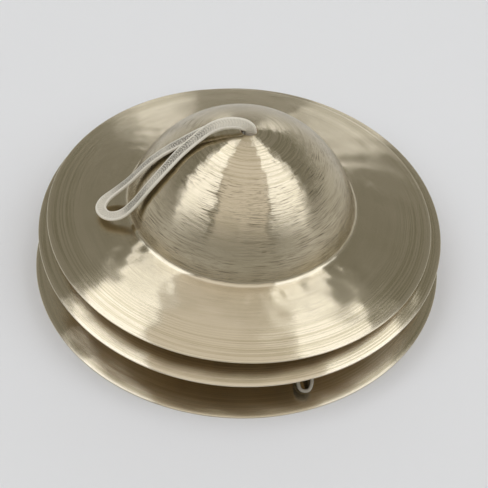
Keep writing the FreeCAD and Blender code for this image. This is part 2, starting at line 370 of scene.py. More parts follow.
@dataclass(frozen=True)
class WovenStrap:
    """Pale beige flat strap with bright selvedges and a ladder-like woven middle, whose gaps carry
    painted shade.
    """

    pale: Triple = (0.71, 0.655, 0.535)
    dark: Triple = (0.10, 0.09, 0.07)
    selvedge: Triple = (0.86, 0.81, 0.69)
    rung: float = 1.8 * MM
    thread: float = 0.9 * MM
    half_width: float = 3.7 * MM
    speckles: tuple[float, float] = (900.0, 1500.0)
    fuzz_scale: float = 1500.0
    soil_scale: float = 70.0
    # where the painted shade in the weave's gaps fades in and out, by length from the nearer end
    gaps_from: tuple[float, float] = (26 * MM, 48 * MM)
    gaps_to: tuple[float, float] = (108 * MM, 124 * MM)
    darkest: float = 0.92
    relief: float = 0.4 * MM

    def material(self) -> Finish:
        """Rungs cross the middle and threads run along the selvedges.

        The vector "weave" holds the place across the strap, the length along
        it and the place through its thickness, in metres, and a second vector
        holds the share of painted shade and the length from the nearer end. A
        rung is a sine of the length, bent by the distance from the middle line,
        a thread a sine of the place across. Painted shade darkens the gaps
        between the rungs in stretches, away from the hole and the loop's tip,
        and the share of painted shade darkens the lower strap's loop tip, which
        lies in the shade between plates.

        Returns:
            The woven strap.
        """
        w = Wiring("woven_strap")
        across, along_it, through = w.attribute("weave")
        painted_shade, from_end, _ = w.attribute("painted_shade")
        edge = abs(across).ramp(self.half_width * 0.55, self.half_width * 0.78)
        rungs = ((along_it + abs(across) * 0.5) * (FULL_TURN / self.rung)).sine()
        threads = (across * (FULL_TURN / self.thread)).sine()
        fuzz = w.noise(w.vector(across, along_it, through), self.fuzz_scale, 3.0, 0.6)
        fine, long = self.speckles
        flecks = w.noise(w.vector(across * fine, along_it * long, through * fine), 1.0, 1.0)
        speckle = flecks.ramp(0.46, 0.57)
        stretch = w.noise(w.vector(along_it * 34, 0.0, 0.0), 1.0, 2.0).ramp(0.36, 0.52, 0.4, 1.0)
        straight = from_end.ramp(*self.gaps_from, 0.1) * from_end.ramp(*self.gaps_to, 1.0, 0.25)
        soil = w.noise(w.place(), self.soil_scale, 3.0).ramp(0.42, 0.7)
        # painted shade in the gaps between the rungs, in stretches, weaker near the hole and the
        # loop's tip
        gap_shade = (rungs.ramp(-0.4, 0.6) * 0.6 + speckle * 0.75) * stretch * straight
        # painted shade of the lower strap's loop tip, which lies in the shade between plates,
        # darkens the middle
        middle = ((gap_shade * 0.9 + painted_shade) * (1 - edge)).math("MINIMUM", self.darkest)
        colour = w.blend(middle + soil * 0.08, self.pale, self.dark)
        # the same painted shade dims the selvedges
        colour = w.blend(edge * (0.75 - speckle * 0.3 - painted_shade * 0.35), colour, self.selvedge)
        # painted shade: the loop tip is blended towards the dark colour
        colour = w.blend(painted_shade * 0.6, colour, self.dark)
        height = rungs * 0.25 * (1 - edge) + threads * 0.15 * edge + fuzz * 0.5 + 0.5
        return w.shade(
            Base_Color=colour,
            Roughness=0.85 + fuzz * 0.1,
            Sheen_Weight=0.15,
            Sheen_Roughness=0.5,
            Specular_IOR_Level=0.25,
            Normal=w.bump(height, self.relief),
        )


@dataclass(frozen=True)
class WornLeather:
    """Tan leather of the washers, pebbled and rubbed darker near the hole."""

    tan: Triple = (0.33, 0.19, 0.10)
    dark: Triple = (0.14, 0.075, 0.04)
    cell_scale: float = 900.0
    pore_scale: float = 2600.0
    patch_scale: float = 120.0
    rubbed_reach: tuple[float, float] = (1 * MM, 5 * MM)
    relief: float = 0.3 * MM

    def material(self) -> Finish:
        """Pebble grain from cells, pores from noise and a dark rubbed ring.

        Returns:
            The leather.
        """
        w = Wiring("worn_leather")
        place = w.place()
        _, _, run = w.attribute("turning")
        grid = {"Vector": place, "Scale": self.cell_scale}
        cells = w.node("ShaderNodeTexVoronoi", {}, grid, "Distance")
        pores = w.noise(place, self.pore_scale, 2.0)
        patches = w.noise(place, self.patch_scale, 3.0)
        rubbed = run.ramp(*self.rubbed_reach, 1.0, 0.0)
        colour = w.blend(patches.ramp(0.35, 0.7) * 0.5 + rubbed * 0.5, self.tan, self.dark)
        return w.shade(
            Base_Color=colour,
            Roughness=0.62 - rubbed * 0.22 + pores * 0.1,
            Normal=w.bump(cells * 0.8 + pores * 0.3, self.relief),
        )


@dataclass(frozen=True)
class PaleFloor:
    """Plain matt studio paper."""

    paper: Triple = (0.82, 0.815, 0.80)
    shadow: Triple = (0.76, 0.755, 0.74)
    tooth_scale: float = 400.0

    def material(self) -> Finish:
        """Even paper with a very faint tooth.

        Returns:
            The paper.
        """
        w = Wiring("studio_paper")
        tooth = w.noise(w.place(), self.tooth_scale, 2.0)
        shade = w.blend(tooth * 0.04, self.paper, self.shadow)
        return w.shade(Base_Color=shade, Roughness=0.9, Specular_IOR_Level=0.1)


# --- meshes


@dataclass(frozen=True)
class Place:
    """Where a cymbal lies: the mouth of its hole and its axis."""

    mouth: Vector
    axis: Vector

    def swing(self, ways: np.ndarray) -> np.ndarray:
        """Directions of the cymbal's own frame, by the shortest turn from +Z to the axis."""
        turn = np.array(Vector((0, 0, 1)).rotation_difference(self.axis).to_matrix())
        return ways @ turn.T

    def lay(self, points: np.ndarray) -> np.ndarray:
        """Points measured from the mouth, +Z along the axis, laid in the row frame."""
        return self.swing(points) + np.array(self.mouth)


@dataclass(frozen=True)
class Job:
    """What a piece is called, where its cymbal lies and its finish."""

    name: str
    place: Place
    finish: Finish


def put(name: str, data: bpy.types.ID) -> Piece:
    """A new object of the scene that shows some data."""
    made = bpy.data.objects.new(name, data)
    bpy.context.scene.collection.objects.link(made)
    return made


def climb(value: np.ndarray, start: float, length: float) -> np.ndarray:
    """Share of a climb, from 0 at the start to 1 a length further."""
    return np.clip((value - start) / length, 0, 1)


def bell(value: np.ndarray, middle: float, width: float) -> np.ndarray:
    """Bell curve of 1 in the middle, which has fallen to 0.37 at a width from it."""
    return np.exp(-(((value - middle) / width) ** 2))


def blunt(wave: np.ndarray, power: float) -> np.ndarray:
    """Size of a wave to a power, with its own sign."""
    return np.sign(wave) * np.abs(wave) ** power


def lengths_along(points: np.ndarray) -> np.ndarray:
    """Length along a line from its first point to each."""
    return np.concatenate([[0], np.cumsum(np.linalg.norm(np.diff(points, axis=0), axis=1))])


def round_the_axis(count: int) -> np.ndarray:
    """Even angles of a full turn."""
    return np.linspace(0, FULL_TURN, count, endpoint=False)


def turned(radius: "np.ndarray | float", height: np.ndarray, angle: np.ndarray) -> np.ndarray:
    """Points of rows turned round Z: X and Y are the radius times the angle's cosine and sine."""
    parts = np.broadcast_arrays(radius * np.cos(angle), radius * np.sin(angle), height)
    return np.stack(parts, -1).reshape(-1, 3)


def grid_faces(rows: int, columns: int, closed: bool) -> np.ndarray:
    """Quads between neighbours of a grid of points, whose rows are rings.

    Args:
        rows: Rows of points, numbered one after the other.
        columns: Points in a row.
        closed: Whether the last row joins the first.

    Returns:
        Four point numbers for each quad.
    """
    i, j = np.meshgrid(np.arange(rows if closed else rows - 1), np.arange(columns), indexing="ij")
    across, down = (j + 1) % columns, (i + 1) % rows
    corners = [i * columns + j, i * columns + across, down * columns + across, down * columns + j]
    return np.stack(corners, -1).reshape(-1, 4)


def outward(points: np.ndarray, faces: np.ndarray) -> np.ndarray:
    """Faces turned so that the closed shell holds a positive volume.

    The volume is the sum over quads of the triple product of their corners.

    Args:
        points: Points of the shell.
        faces: Its quads.

    Returns:
        The quads, reversed if they faced inwards.
    """
    a, b, c, d = (points[faces[:, k]] for k in range(4))
    volume = np.einsum("ij,ij->", a, np.cross(b, c)) + np.einsum("ij,ij->", a, np.cross(c, d))
    return faces if volume > 0 else faces[:, ::-1]


def make_piece(
    job: Job,
    points: np.ndarray,
    faces: np.ndarray,
    attributes: dict[str, np.ndarray],
    caps: Sequence[Sequence[int]] = (),
    sharp: float = 40.0,
) -> Piece:
    """One mesh object at the origin.

    Args:
        job: The piece's name and finish.
        points: Its points in the row frame.
        faces: Its quads.
        attributes: Vectors held at each point, by name.
        caps: Rings of point numbers that close its ends.
        sharp: Angle past which an edge shows sharp, in degrees.

    Returns:
        The object.
    """
    mesh = bpy.data.meshes.new(job.name)
    quads = outward(points, faces)
    order = 1 if quads is faces else -1
    mesh.from_pydata(points.tolist(), [], quads.tolist() + [list(ring)[::order] for ring in caps])
    for key, values in attributes.items():
        layer = mesh.attributes.new(key, "FLOAT_VECTOR", "POINT")
        layer.data.foreach_set("vector", values.astype(np.float32).ravel())
    mesh.shade_smooth()
    mesh.set_sharp_from_angle(angle=math.radians(sharp))
    mesh.materials.append(job.finish)
    mesh.update()
    return put(job.name, mesh)


# --- plates


@dataclass(frozen=True)
class Arc:
    """Arc of a turned profile; slopes are degrees down from level."""

    centre: tuple[float, float]
    radius: float
    start: float
    end: float

    def points(self, depth: float, count: int) -> np.ndarray:
        """Points at a depth: the centre plus the radius times the slope's sine and cosine."""
        slope = np.radians(np.linspace(self.start, self.end, count))
        way = np.stack([np.sin(slope), np.cos(slope)], -1)
        return np.array(self.centre) + (self.radius - depth) * way

    def slope_at(self, radius: float, depth: float = 0.0) -> float:
        """Slope where the arc at a depth crosses a radius."""
        return math.degrees(math.asin((radius - self.centre[0]) / (self.radius - depth)))

    def slope_at_height(self, height: float, depth: float) -> float:
        """Slope where the arc at a depth crosses a height."""
        return math.degrees(math.acos((height - self.centre[1]) / (self.radius - depth)))

    def between(self, start: float, end: float) -> "Arc":
        """The same arc with other ends."""
        return Arc(self.centre, self.radius, start, end)


def along(slope: float, length: float) -> np.ndarray:
    """Radius and height of a step of a length, a slope away from straight up."""
    return length * np.array([math.sin(math.radians(slope)), math.cos(math.radians(slope))])


@dataclass(frozen=True)
class PlateForm:
    """Sizes of one spun plate, in metres and degrees."""

    rim_radius: float
    dome_height: float
    dome_radius: float
    flange_rise: float
    wall: float = 1.5 * MM
    crown_angle: float = 24.0
    wall_angle: float = 72.0
    fillet_radius: float = 3.5 * MM
    root_slope: float = 3.0
    rim_grind: float = 0.3 * MM
    rim_round: float = 0.5 * MM
    hole_radius: float = 5.5 * MM
    hole_easing: float = 0.4 * MM
    arc_points: tuple[int, ...] = (22, 30, 9, 44)
    nose_points: int = 8

    def arcs(self) -> list[Arc]:
        """Crown, shoulder, fillet and bowed flange of the upper face.

        Crown and shoulder radii solve two equations: their sines add up to
        the dome's radius, and their drops to its rise. Each arc starts with
        the slope at which the one before it ends.

        Returns:
            The four arcs, from the hole to the rim.
        """
        crown, wall, root = map(math.radians, (self.crown_angle, self.wall_angle, self.root_slope))
        edge = self.wall - self.rim_grind
        base = edge + self.flange_rise + self.fillet_radius * (math.cos(root) - math.cos(wall))
        sums = np.array([
            [math.sin(crown), math.sin(wall) - math.sin(crown)],
            [1 - math.cos(crown), math.cos(crown) - math.cos(wall)],
        ])
        top, side = np.linalg.solve(sums, [self.dome_radius, self.dome_height - base])
        hole = math.degrees(math.asin((self.hole_radius + self.hole_easing) / top))
        crown_centre = np.array([0.0, self.dome_height - top])
        side_centre = crown_centre + along(self.crown_angle, top - side)
        fillet_centre = side_centre + along(self.wall_angle, side + self.fillet_radius)
        foot = fillet_centre - along(self.root_slope, self.fillet_radius)
        run = self.rim_radius - foot[0]
        rim_slope = 2 * math.degrees(math.atan2(foot[1] - edge, run)) - self.root_slope
        bow = run / (math.sin(math.radians(rim_slope)) - math.sin(root))
        return [
            Arc(tuple(crown_centre), top, hole, self.crown_angle),
            Arc(tuple(side_centre), side, self.crown_angle, self.wall_angle),
            Arc(tuple(fillet_centre), -self.fillet_radius, self.wall_angle, self.root_slope),
            Arc(tuple(foot - along(self.root_slope, bow)), bow, self.root_slope, rim_slope),
        ]

    def chain(self, arcs: Sequence[Arc], depth: float) -> np.ndarray:
        """Points of joined arcs at a depth below them, with each joint once."""
        parts = [arc.points(depth, count) for arc, count in zip(arcs, self.arc_points)]
        return np.concatenate([parts[0][:1], *(part[1:] for part in parts)])

    def profile(self) -> tuple[np.ndarray, np.ndarray]:
        """Closed profile of the wall, and the arc length that each point stands for.

        Down the upper face, round the rim, back under the wall and up the
        hole. A point of the lower face takes the arc length of the point that
        it lies under, so that a dent moves both.

        Returns:
            Radius and height of each point, and its arc length from the hole.
        """
        crown, side, fillet, flange = self.arcs()
        lip = flange.between(flange.start, flange.slope_at(self.rim_radius - self.rim_round))
        upper = self.chain([crown, side, fillet, lip], 0)
        mouth = crown.between(crown.slope_at(self.hole_radius, self.wall), self.crown_angle)
        ground = flange.between(flange.start, flange.slope_at_height(0, self.wall))
        lower = self.chain([mouth, side, fillet, ground], self.wall)
        run = lengths_along(upper)
        end, height = upper[-1]
        turn = np.radians(np.linspace(90, -90, self.nose_points + 1))[1:]
        out, up = self.rim_round * np.cos(turn), 0.5 * height * (1 + np.sin(turn))
        nose = np.stack([end + out, up], -1)
        bore = np.array([[self.hole_radius, upper[0, 1] - self.hole_easing]])
        points = np.concatenate([upper, nose, lower[::-1], bore])
        runs = np.concatenate([run, np.full(len(nose), run[-1]), run[::-1], [0.0]])
        return points, runs


@dataclass(frozen=True)
class Waves:
    """Hammer waves: their depth, turns round the axis and lengths in millimetres."""

    depth: float
    turns: tuple[int, int]
    lengths: tuple[float, float]
    count: int = 26

    def height(self, dice: np.random.Generator, angle: np.ndarray, run: np.ndarray) -> np.ndarray:
        """Sum of waves that cross each other.

        Cosines of a whole number of turns times the angle plus a frequency
        times the arc length, each with its own phase and lean.

        Args:
            dice: Source of the random draws.
            angle: Angles round the axis.
            run: Arc lengths from the hole.

        Returns:
            Height at each arc length and angle.
        """
        total = np.zeros((len(run), len(angle)))
        for _ in range(self.count):
            turns = int(dice.integers(*self.turns))
            length = dice.uniform(*self.lengths) * MM
            phase, lean = dice.uniform(0, FULL_TURN), dice.choice((-1, 1))
            total += np.cos(turns * angle + lean * FULL_TURN * run[:, None] / length + phase)
        return self.depth * total / math.sqrt(0.5 * self.count)


@dataclass
class HammeredPlate:
    """A plate's mesh: its profile turned round the axis, with shallow hammer marks.

    A fade is where a zone starts, measured from its edge, and how far it
    takes to reach its full share.
    """

    form: PlateForm
    seed: int
    segments: int = 384
    waves: Waves = Waves(0.06 * MM, (5, 30), (16, 60))
    dents: Waves = Waves(0.018 * MM, (30, 64), (14, 40))
    dent_offset: float = 8 * MM
    dent_band: float = 16 * MM
    rim_ease: float = 5 * MM
    crown_ease: tuple[float, float] = (45 * MM, 60 * MM)
    dome_fade: tuple[float, float] = (-4 * MM, 6 * MM)
    rim_fade: tuple[float, float] = (-26 * MM, 16 * MM)
    # lip_fade, crease_place and crease_width place the painted highlight at the lip and in the
    # dome's crease
    lip_fade: tuple[float, float] = (-1.6 * MM, 0.6 * MM)
    crease_place: float = 0.55
    crease_width: float = 0.8 * MM

    def ripple(self, angle: np.ndarray, run: np.ndarray) -> np.ndarray:
        """Height of the hammer marks.

        Broad waves, eased to nothing at the crown and the rim, plus closer
        dents that a bell curve keeps near the dome's foot.

        Args:
            angle: Angles round the axis.
            run: Arc lengths from the hole.

        Returns:
            Height at each arc length and angle.
        """
        dice = np.random.default_rng(self.seed)
        ease = climb(run.max() - run, 0.0, self.rim_ease) * climb(run, *self.crown_ease)
        dome = self.form.arcs()[:3]
        foot = sum(abs(arc.radius * math.radians(arc.end - arc.start)) for arc in dome)
        near = bell(run, foot + self.dent_offset, self.dent_band)
        broad = self.waves.height(dice, angle, run) * ease[:, None]
        return broad + self.dents.height(dice, angle, run) * near[:, None]

    def zones(self, radius: np.ndarray) -> np.ndarray:
        """Shares of dome, rim and painted highlight along the profile.

        Dome and rim climb over their fades. The painted highlight, the edge share, is the greater
        of a bell curve in the dome's crease and a climb at the lip, where a glint of the lamps is
        painted into the colour.

        Args:
            radius: Radius of each point of the profile.

        Returns:
            The three shares of each point.
        """
        form = self.form
        inside, outside = form.dome_radius - radius, radius - form.rim_radius
        foot = form.dome_radius + self.crease_place * form.fillet_radius
        # painted highlight: a thin glint in the dome's crease and along the lip
        crease = bell(radius, foot, self.crease_width)
        edge = np.maximum(crease, climb(outside, *self.lip_fade))
        return np.stack([climb(inside, *self.dome_fade), climb(outside, *self.rim_fade), edge], -1)

    def build(self, job: Job) -> Piece:
        """Turn the profile and lay it in the stack.

        The hammer marks move each point along the profile's own normal, a
        quarter turn from the step between its neighbours.

        Args:
            job: The plate's name, place and finish.

        Returns:
            The plate.
        """
        profile, run = self.form.profile()
        angle = round_the_axis(self.segments)
        half = len(profile) // 2
        step = np.roll(profile, -1, 0) - np.roll(profile, 1, 0)
        normal = np.stack([-step[:, 1], step[:, 0]], -1)
        normal[half:] *= -1
        normal /= np.maximum(np.hypot(*normal.T), np.finfo(float).tiny)[:, None]
        moved = profile[:, None] + self.ripple(angle, run)[..., None] * normal[:, None]
        points = turned(moved[..., 0], moved[..., 1] - self.form.dome_height, angle)
        under = np.zeros((len(run), 3))
        under[half + self.form.nose_points // 2 :, 0] = 1.0
        level = np.stack([-np.sin(angle), np.cos(angle), np.zeros(len(angle))], -1)
        attributes = {
            "turning": turned(1.0, run[:, None], angle),
            "zones": np.repeat(self.zones(profile[:, 0]), self.segments, 0),
            "underside": np.repeat(under, self.segments, 0),
            "outward": job.place.swing(turned(normal[:, 1:], -normal[:, :1], angle)),
            "roundabout": job.place.swing(np.tile(level, (len(run), 1))),
        }
        faces = grid_faces(len(profile), self.segments, True)
        return make_piece(job, job.place.lay(points), faces, attributes)


# --- straps

SPLINE_ORDER = 3
SPLINE_STEPS = 14


def spline_points(route: np.ndarray) -> np.ndarray:
    """Points along the smooth line of a cord's route.

    Args:
        route: Control points in the row frame.

    Returns:
        Points of the NURBS spline, as Blender works it out.
    """
    curve = bpy.data.curves.new("route", "CURVE")
    curve.dimensions = "3D"
    spline = curve.splines.new("NURBS")
    spline.points.add(len(route) - 1)
    spline.points.foreach_set("co", np.column_stack([route, np.ones(len(route))]).ravel())
    spline.order_u = SPLINE_ORDER
    spline.use_endpoint_u = True
    spline.resolution_u = SPLINE_STEPS
    line = put("route", curve)
    bpy.context.view_layer.update()
    graph = bpy.context.evaluated_depsgraph_get()
    mesh = bpy.data.meshes.new_from_object(line.evaluated_get(graph))
    points = np.empty(len(mesh.vertices) * 3)
    mesh.vertices.foreach_get("co", points)
    bpy.data.objects.remove(line)
    bpy.data.meshes.remove(mesh)
    bpy.data.curves.remove(curve)
    return points.reshape(-1, 3)


@dataclass(frozen=True)
class StrapSection:
    """Section of the flat woven strap."""

    width: float = 7.4 * MM
    thickness: float = 2.6 * MM
    corner: float = 3.2
    count: int = 28
    hollow: float = 0.12

    def outline(self) -> tuple[np.ndarray, np.ndarray]:
        """A rounded oblong, slightly thinner in the middle than at its selvedges.

        Half the width and thickness times the signed cosine and sine of an
        angle, each to the power two over the corner number.

        Returns:
            Place across and through the strap of each point.
        """
        turn = round_the_axis(self.count)
        power = 2 / self.corner
        across = 0.5 * self.width * blunt(np.cos(turn), power)
        through = 0.5 * self.thickness * blunt(np.sin(turn), power)
        return across, through * (1 - self.hollow + self.hollow * (2 * across / self.width) ** 2)


STRAP_SECTION = StrapSection()
KNOT_SECTION = StrapSection(width=5.2 * MM, thickness=3.2 * MM, corner=2.4, count=20)
# width of the painted shade's bell curve, as a share of the strap's length
PAINTED_SHADE_SPREAD = 0.07
STRAP_CREASE = 70.0


def sweep_strap(
    job: Job, path: np.ndarray, faces_up: np.ndarray, section: StrapSection, painted_shade: float = 0.0
) -> Piece:
    """A flat strap carried along a path.

    At each point the strap's face direction is the wanted one less its part
    along the path, and its width direction is their cross product.

    Args:
        job: The piece's name and finish.
        path: Points of its centreline.
        faces_up: Wanted face direction at each point.
        section: The strap's section.
        painted_shade: Share of painted shade at the middle of its length, which fades as a bell
            curve.

    Returns:
        The strap.
    """
    tangent = np.gradient(path, axis=0)
    tangent /= np.linalg.norm(tangent, axis=1)[:, None]
    face = faces_up - (faces_up * tangent).sum(1)[:, None] * tangent
    face /= np.linalg.norm(face, axis=1)[:, None]
    side = np.cross(tangent, face)
    across, through = section.outline()
    run = lengths_along(path)
    points = path[:, None] + side[:, None] * across[:, None] + face[:, None] * through[:, None]
    weave = np.stack(np.broadcast_arrays(across[None], run[:, None], through[None]), -1)
    # painted shade, strongest at the middle of the length
    spread = painted_shade * bell(run / run[-1], 0.5, PAINTED_SHADE_SPREAD)
    soiled = np.stack([spread, np.minimum(run, run[-1] - run), np.zeros(len(run))], -1)
    count = len(across)
    attributes = {"weave": weave.reshape(-1, 3), "painted_shade": np.repeat(soiled, count, 0)}
    last = (len(path) - 1) * count
    caps = [range(count)[::-1], range(last, last + count)]
    quads = grid_faces(len(path), count, False)
    return make_piece(job, points.reshape(-1, 3), quads, attributes, caps, STRAP_CREASE)


@dataclass
class HandStrap:
    """One doubled strap: the loop that the hand goes through, its knot and two cut ends.

    The route is in millimetres from the mouth of the hole, and the faces are
    the directions that the strap's flat side wants at the route's points.
    """

    route: Sequence[Triple]
    faces: Sequence[Triple]
    length: float
    tail_azimuth: float
    # share of painted shade at the loop's middle
    painted_shade: float = 0.0
    section: StrapSection = STRAP_SECTION
    knot_top: float = 3.9 * MM
    knot_height: float = 11 * MM
    knot_mean: float = 4.3 * MM
    knot_swing: float = 2.3 * MM
    knot_rise: float = 3.3 * MM
    knot_waves: float = 1.5
    knot_points: int = 260
    tail_reach: float = 23 * MM
    tail_drop: float = 3 * MM
    tail_spread: float = 155.0
    tail_start: float = 0.12
    tail_droop: float = 1.6
    tail_lean: float = 0.25
    tail_points: int = 30

    def centreline(self, place: Place) -> np.ndarray:
        """Points of the loop's centreline in the row frame."""
        return spline_points(place.lay(np.array(self.route, float) * MM))

    def loop(self, job: Job) -> Piece:
        """The loop, carried along the spline of its route.

        The wanted face directions stand at the control points, and between
        them they follow in a straight line by the spline's own parameter.

        Args:
            job: The loop's name, place and finish.

        Returns:
            The loop.
        """
        path = self.centreline(job.place)
        last = len(self.route) - 2
        knots = np.concatenate([[0], np.arange(last) + 0.5, [last]])
        share = np.linspace(0, last, len(path))
        parts = np.array(self.faces, float).T
        face = np.stack([np.interp(share, knots, part) for part in parts], -1)
        return sweep_strap(job, path, job.place.swing(face), self.section, self.painted_shade)

    def knot(self, job: Job) -> Piece:
        """An overhand knot pulled tight.

        The strap's centreline turns twice round the axis while it rises and
        falls three times: its radius is a mean plus a cosine of three halves
        of the angle, and its height a sine of the same. The strap's flat side
        faces away from the knot's middle.

        Args:
            job: The knot's name, place and finish.

        Returns:
            The knot.
        """
        turn = np.linspace(0, 2 * FULL_TURN, self.knot_points)
        radius = self.knot_mean + self.knot_swing * np.cos(self.knot_waves * turn)
        rise = self.knot_rise * np.sin(self.knot_waves * turn)
        out = np.stack([radius * np.cos(turn), radius * np.sin(turn), rise], -1)
        path = out + np.array([0, 0, self.knot_level()])
        return sweep_strap(job, job.place.lay(path), job.place.swing(out), KNOT_SECTION)

    def knot_level(self) -> float:
        """Height of the knot's middle."""
        return -self.knot_top - 0.5 * self.knot_height

    def ends(self, job: Job) -> Piece:
        """Two short cut ends that leave the knot sideways and droop.

        Each runs straight out, and bends aside with the square of its share
        of the reach and down with a lower power of it.

        Args:
            job: The ends' name, place and finish.

        Returns:
            Both ends as one piece.
        """
        made = []
        for index, azimuth in enumerate((self.tail_azimuth, self.tail_azimuth + self.tail_spread)):
            turn = math.radians(azimuth)
            out = np.array([math.cos(turn), math.sin(turn), 0.0])
            side = np.array([-out[1], out[0], 0.0])
            share = np.linspace(self.tail_start, 1, self.tail_points)[:, None]
            path = out * (self.tail_reach * share) + side * (self.tail_drop * share**2)
            path[:, 2] += self.knot_level() - self.tail_drop * share[:, 0] ** self.tail_droop
            up = np.broadcast_to(self.tail_lean * side + np.array([0, 0, 1]), path.shape)
            part = replace(job, name=f"{job.name}_{index}")
            made.append(sweep_strap(part, job.place.lay(path), job.place.swing(up), self.section))
        with bpy.context.temp_override(active_object=made[0], selected_editable_objects=made):
            bpy.ops.object.join()
        made[0].name = made[0].data.name = job.name
        return made[0]


@dataclass(frozen=True)
class LeatherWasher:
    """Dished leather disc under the crown."""

    form: PlateForm
    radius: float = 13 * MM
    thickness: float = 1.8 * MM
    hole: float = 4.4 * MM
    fit: float = 0.1 * MM
    section_points: int = 40
    segments: int = 96
    edge_power: float = 0.3
    face_power: float = 0.5
    waver: float = 0.006

    def build(self, job: Job) -> Piece:
        """Turn a rounded oblong that lies against the inside of the crown.

        The oblong's length lies along the crown's inner sphere, and its rim
        wavers a little with the angle, as a hand-cut disc does.

        Args:
            job: The washer's name, place and finish.

        Returns:
            The washer.
        """
        crown = self.form.arcs()[0]
        sphere = crown.radius - self.form.wall - self.fit
        turn = round_the_axis(self.section_points)
        half = 0.5 * (self.radius - self.hole)
        across = half * blunt(np.cos(turn), self.edge_power)
        depth = 0.5 * self.thickness * (1 - blunt(np.sin(turn), self.face_power))
        radius = self.hole + half + across
        slope = np.arcsin(radius / sphere)
        height = crown.centre[1] + (sphere - depth) * np.cos(slope) - self.form.dome_height
        angle = round_the_axis(self.segments)
        cut = 1 - self.waver * (1 + np.sin(5 * angle + 1) * np.cos(3 * angle))
        edge = np.where((across > 0)[:, None], cut, 1.0)
        wide = ((sphere - depth) * np.sin(slope))[:, None] * edge
        points = job.place.lay(turned(wide, height[:, None], angle))
        attributes = {"turning": turned(1.0, (radius - self.hole)[:, None], angle)}
        faces = grid_faces(len(turn), len(angle), True)
        return make_piece(job, points, faces, attributes)


# --- cymbals


@dataclass
class HandCymbal:
    """One cymbal of the stack with its strap."""

    tier: Tier
    form: PlateForm
    strap: HandStrap
    place: Place
    seed: int

    def build(self, finishes: dict[Slot, Finish]) -> None:
        """Build, dress and seat every piece of this cymbal.

        Args:
            finishes: The finish of each material slot.
        """
        plate = HammeredPlate(self.form, self.seed)
        for kind, make, body, node, slot in (
            ("hammered_plate", plate.build, "cymbal", "plate", Slot.BRONZE),
            ("leather_washer", LeatherWasher(self.form).build, "cymbal", "washer", Slot.LEATHER),
            ("overhand_knot", self.strap.knot, "strap", "knot", Slot.STRAP),
            ("cut_ends", self.strap.ends, "strap", "strap_ends", Slot.STRAP),
            ("hand_strap", self.strap.loop, "strap", "strap_loop", Slot.STRAP),
        ):
            piece = make(Job(f"{self.tier.value}_{kind}", self.place, finishes[slot]))
            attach(piece, f"{self.tier.value}_{body}")
            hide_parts(f"{self.tier.value}_{node}")
            LOG.info("%s stands for %s, %d faces", piece.name, node, len(piece.data.polygons))
        self.strap.centreline(self.place).tolist()


# --- studio


def stand(made: Piece, at: Vector, axes: Sequence[Vector]) -> None:
    """Stand a lamp or camera at a point, with its own X, Y and Z along three directions."""
    made.matrix_world = Matrix.Translation(at) @ Matrix(axes).transposed().to_4x4()


@dataclass(frozen=True)
class SoftBox:
    """A long rectangular soft light between two points."""

    name: str
    near: Triple
    far: Triple
    width: float
    radiance: float
    tint: Triple = (0.96, 1.005, 1.12)

    def hang(self) -> None:
        """Hang the light along its own line, rolled so that it faces the stack.

        Its power is the radiance times pi times its area.
        """
        near, far = Vector(self.near), Vector(self.far)
        length = (far - near).length
        data = bpy.data.lights.new(self.name, "AREA")
        data.shape = "RECTANGLE"
        data.size, data.size_y = self.width, length
        data.energy = self.radiance * math.pi * self.width * length
        data.color = self.tint
        middle = (near + far) / 2
        up = (far - near).normalized()
        side = up.cross(middle - STACK_MIDDLE).normalized()
        stand(put(self.name, data), middle, (side, up, side.cross(up)))


STACK_MIDDLE = Vector((0, 0, 0.08))
PANEL_TINT = (1.0, 0.96, 0.97)
LAMPS = (
    SoftBox("left_near", (-1.40, -1.00, 1.08), (-1.15, 0.60, 2.68), 1.20, 1.4),
    SoftBox("left_far", (-0.98, 0.60, 2.68), (-0.88, 7.00, 9.08), 0.78, 1.7),
    SoftBox("right_near", (1.50, -1.00, 1.08), (1.48, 0.60, 2.68), 1.40, 1.45),
    SoftBox("right_far", (1.15, 0.60, 2.68), (1.25, 7.00, 9.08), 0.80, 1.7),
    SoftBox("panel_near", (0.02, -1.30, 0.98), (0.10, 0.60, 2.88), 1.46, 0.62, PANEL_TINT),
    SoftBox("panel_far", (0.08, 0.60, 2.88), (0.18, 7.00, 9.28), 1.34, 0.62, PANEL_TINT),
    SoftBox("back_left", (-0.50, 3.00, 1.10), (-0.55, 2.90, 2.00), 0.50, 1.4),
    SoftBox("back_right", (0.80, 3.00, 1.10), (0.85, 2.90, 2.00), 0.65, 1.2),
)


